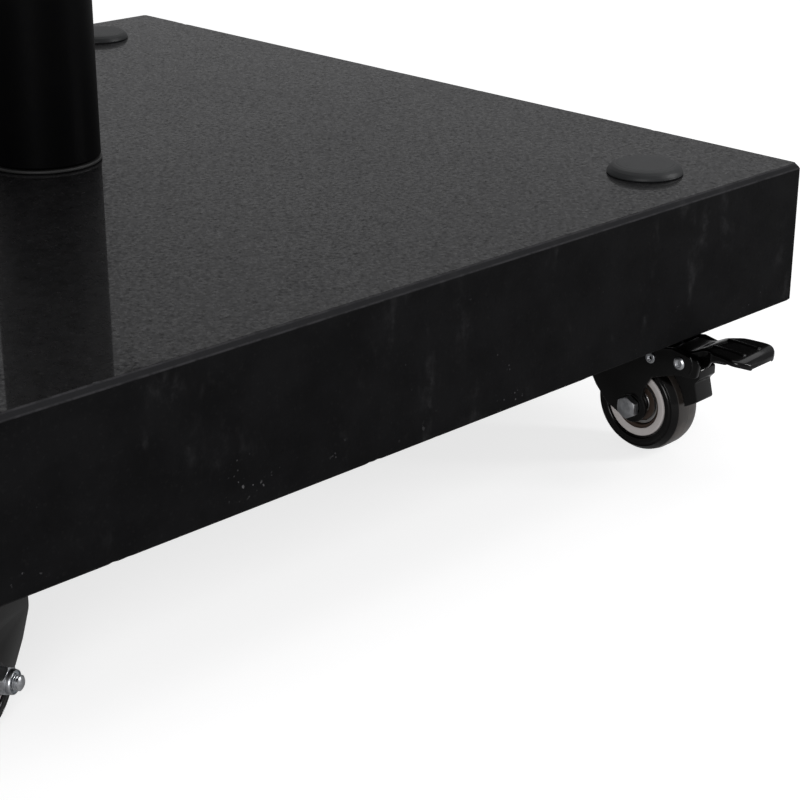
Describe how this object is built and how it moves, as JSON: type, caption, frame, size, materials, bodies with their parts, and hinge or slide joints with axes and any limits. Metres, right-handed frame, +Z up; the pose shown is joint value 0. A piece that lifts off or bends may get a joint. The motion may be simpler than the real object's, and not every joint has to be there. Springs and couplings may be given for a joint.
{
  "type": "rolling parasol base",
  "caption": "Square polished granite slab on swivel casters with foot brakes, with a round clamped pole socket; a heavy base that holds a parasol upright and can be rolled.",
  "frame": {"origin": "on the floor under the middle of the slab", "axes": "+Z up, +X to the right along the slab's front face, +Y to its back"},
  "size_m": [0.52, 0.5816, 0.4859],
  "materials": {
    "granite": "polished",
    "tube_coating": "satin powder coat",
    "fork_paint": "gloss dip coat",
    "zinc": "zinc plated",
    "tyre": "satin polyurethane",
    "rim": "moulded",
    "cap_plastic": "moulded",
    "black_plastic": "moulded",
    "foot_ring": "matt"
  },
  "bodies": {
    "base": {"granite_slab": "granite", "socket_foot_ring": "foot_ring", "socket_tube": "tube_coating", "pole_sleeve": "black_plastic", "socket_washer": "zinc", "socket_bolt": "zinc", "front_right_stem_cap": "cap_plastic", "front_right_swivel_stem": "zinc", "front_right_stem_nut": "zinc", "front_left_stem_cap": "cap_plastic", "front_left_swivel_stem": "zinc", "front_left_stem_nut": "zinc", "rear_left_stem_cap": "cap_plastic", "rear_left_swivel_stem": "zinc", "rear_left_stem_nut": "zinc", "rear_right_stem_cap": "cap_plastic", "rear_right_swivel_stem": "zinc", "rear_right_stem_nut": "zinc"},
    "front_right_fork": {"front_right_fork": "fork_paint", "front_right_ball_ring": "zinc", "front_right_axle_bolt": "zinc", "front_right_axle_nut": "zinc", "front_right_pedal_pin": "zinc"},
    "front_right_wheel": {"front_right_tyre": "tyre", "front_right_rim": "rim", "front_right_wheel_bearing": "zinc"},
    "front_right_pedal": {"front_right_brake_pedal": "fork_paint"},
    "front_right_shoe": {"front_right_brake_shoe": "fork_paint"},
    "front_left_fork": {"front_left_fork": "fork_paint", "front_left_ball_ring": "zinc", "front_left_axle_bolt": "zinc", "front_left_axle_nut": "zinc", "front_left_pedal_pin": "zinc"},
    "front_left_wheel": {"front_left_tyre": "tyre", "front_left_rim": "rim", "front_left_wheel_bearing": "zinc"},
    "front_left_pedal": {"front_left_brake_pedal": "fork_paint"},
    "front_left_shoe": {"front_left_brake_shoe": "fork_paint"},
    "rear_left_fork": {"rear_left_fork": "fork_paint", "rear_left_ball_ring": "zinc", "rear_left_axle_bolt": "zinc", "rear_left_axle_nut": "zinc", "rear_left_pedal_pin": "zinc"},
    "rear_left_wheel": {"rear_left_tyre": "tyre", "rear_left_rim": "rim", "rear_left_wheel_bearing": "zinc"},
    "rear_left_pedal": {"rear_left_brake_pedal": "fork_paint"},
    "rear_left_shoe": {"rear_left_brake_shoe": "fork_paint"},
    "rear_right_fork": {"rear_right_fork": "fork_paint", "rear_right_ball_ring": "zinc", "rear_right_axle_bolt": "zinc", "rear_right_axle_nut": "zinc", "rear_right_pedal_pin": "zinc"},
    "rear_right_wheel": {"rear_right_tyre": "tyre", "rear_right_rim": "rim", "rear_right_wheel_bearing": "zinc"},
    "rear_right_pedal": {"rear_right_brake_pedal": "fork_paint"},
    "rear_right_shoe": {"rear_right_brake_shoe": "fork_paint"},
    "upper_knob": {"upper_clamp_knob": "black_plastic"},
    "lower_knob": {"lower_clamp_knob": "black_plastic"}
  },
  "joints": [
    {"name": "front_right_swivel", "type": "hinge", "parent": "base", "child": "front_right_fork", "pos_m": [0.191, -0.218, 0.06309], "axis": [0, 0, 1], "continuous": true},
    {"name": "front_right_roll", "type": "hinge", "parent": "front_right_fork", "child": "front_right_wheel", "pos_m": [0.1913, -0.22649, 0.02484], "axis": [0.9994, 0.0349, 0], "continuous": true},
    {"name": "front_right_brake", "type": "hinge", "parent": "front_right_fork", "child": "front_right_pedal", "pos_m": [0.19226, -0.25398, 0.05434], "axis": [0.9994, 0.0349, 0], "range_deg": [0, 16]},
    {"name": "front_right_shoe_swing", "type": "hinge", "parent": "front_right_fork", "child": "front_right_shoe", "pos_m": [0.19166, -0.23699, 0.05264], "axis": [0.9994, 0.0349, 0], "range_deg": [0, 2.9]},
    {"name": "front_left_swivel", "type": "hinge", "parent": "base", "child": "front_left_fork", "pos_m": [-0.191, -0.218, 0.06309], "axis": [0, 0, 1], "continuous": true},
    {"name": "front_left_roll", "type": "hinge", "parent": "front_left_fork", "child": "front_left_wheel", "pos_m": [-0.19843, -0.22212, 0.02484], "axis": [0.4848, -0.8746, 0], "continuous": true},
    {"name": "front_left_brake", "type": "hinge", "parent": "front_left_fork", "child": "front_left_pedal", "pos_m": [-0.22249, -0.23545, 0.05434], "axis": [0.4848, -0.8746, 0], "range_deg": [0, 16]},
    {"name": "front_left_shoe_swing", "type": "hinge", "parent": "front_left_fork", "child": "front_left_shoe", "pos_m": [-0.20762, -0.22721, 0.05264], "axis": [0.4848, -0.8746, 0], "range_deg": [0, 2.9]},
    {"name": "rear_left_swivel", "type": "hinge", "parent": "base", "child": "rear_left_fork", "pos_m": [-0.191, 0.218, 0.06309], "axis": [0, 0, 1], "continuous": true},
    {"name": "rear_left_roll", "type": "hinge", "parent": "rear_left_fork", "child": "rear_left_wheel", "pos_m": [-0.1913, 0.22649, 0.02484], "axis": [-0.9994, -0.0349, 0], "continuous": true},
    {"name": "rear_left_brake", "type": "hinge", "parent": "rear_left_fork", "child": "rear_left_pedal", "pos_m": [-0.19226, 0.25398, 0.05434], "axis": [-0.9994, -0.0349, 0], "range_deg": [0, 16]},
    {"name": "rear_left_shoe_swing", "type": "hinge", "parent": "rear_left_fork", "child": "rear_left_shoe", "pos_m": [-0.19166, 0.23699, 0.05264], "axis": [-0.9994, -0.0349, 0], "range_deg": [0, 2.9]},
    {"name": "rear_right_swivel", "type": "hinge", "parent": "base", "child": "rear_right_fork", "pos_m": [0.191, 0.218, 0.06309], "axis": [0, 0, 1], "continuous": true},
    {"name": "rear_right_roll", "type": "hinge", "parent": "rear_right_fork", "child": "rear_right_wheel", "pos_m": [0.19843, 0.22212, 0.02484], "axis": [-0.4848, 0.8746, 0], "continuous": true},
    {"name": "rear_right_brake", "type": "hinge", "parent": "rear_right_fork", "child": "rear_right_pedal", "pos_m": [0.22249, 0.23545, 0.05434], "axis": [-0.4848, 0.8746, 0], "range_deg": [0, 16]},
    {"name": "rear_right_shoe_swing", "type": "hinge", "parent": "rear_right_fork", "child": "rear_right_shoe", "pos_m": [0.20762, 0.22721, 0.05264], "axis": [-0.4848, 0.8746, 0], "range_deg": [0, 2.9]},
    {"name": "upper_knob_screw", "type": "slide", "parent": "base", "child": "upper_knob", "axis": [1, 0, 0], "range_m": [0, 0.012]},
    {"name": "lower_knob_screw", "type": "slide", "parent": "base", "child": "lower_knob", "axis": [1, 0, 0], "range_m": [0, 0.012]}
  ],
  "couplings": [
    {"joint": "front_right_shoe_swing", "follows": "front_right_brake", "ratio": 0.18},
    {"joint": "front_left_shoe_swing", "follows": "front_left_brake", "ratio": 0.18},
    {"joint": "rear_left_shoe_swing", "follows": "rear_left_brake", "ratio": 0.18},
    {"joint": "rear_right_shoe_swing", "follows": "rear_right_brake", "ratio": 0.18}
  ]
}
